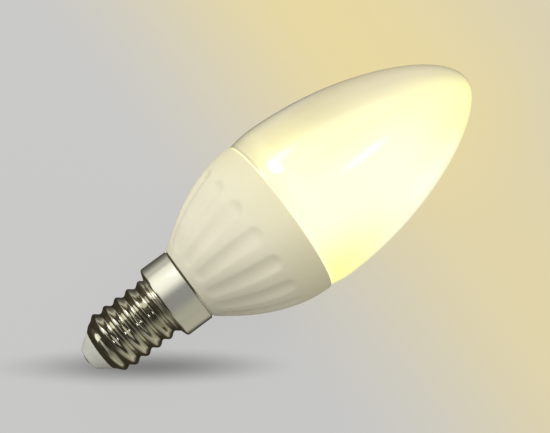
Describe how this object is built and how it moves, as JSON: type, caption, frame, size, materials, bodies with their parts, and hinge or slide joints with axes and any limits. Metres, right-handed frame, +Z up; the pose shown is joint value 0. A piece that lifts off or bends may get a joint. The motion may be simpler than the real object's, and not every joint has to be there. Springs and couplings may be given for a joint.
{
  "type": "candle bulb",
  "caption": "Candle-shaped lamp bulb: an opal diffuser on a scalloped ceramic housing, with a small Edison screw cap.",
  "frame": {"origin": "on the surface that the bulb lies on, under the middle of its box", "axes": "+X towards the candle's tip, as seen from above, +Z up; the bulb's own axis rises 17.3 degrees from +X, from the cap to the tip"},
  "size_m": [0.096, 0.037, 0.0423],
  "materials": {
    "opal_diffuser": "glossy opal, lit warm from inside",
    "white_ceramic": "matt, warm off-white",
    "nickel_plate": "bright nickel plate on the thread, satin on the skirt",
    "cap_insulator": "smooth off-white",
    "contact_metal": "plain tinned metal"
  },
  "bodies": {
    "root": {"diffuser": "opal_diffuser", "ceramic_housing": "white_ceramic", "cap_shell": "nickel_plate", "cap_insulator": "cap_insulator", "centre_contact": "contact_metal"}
  },
  "joints": []
}
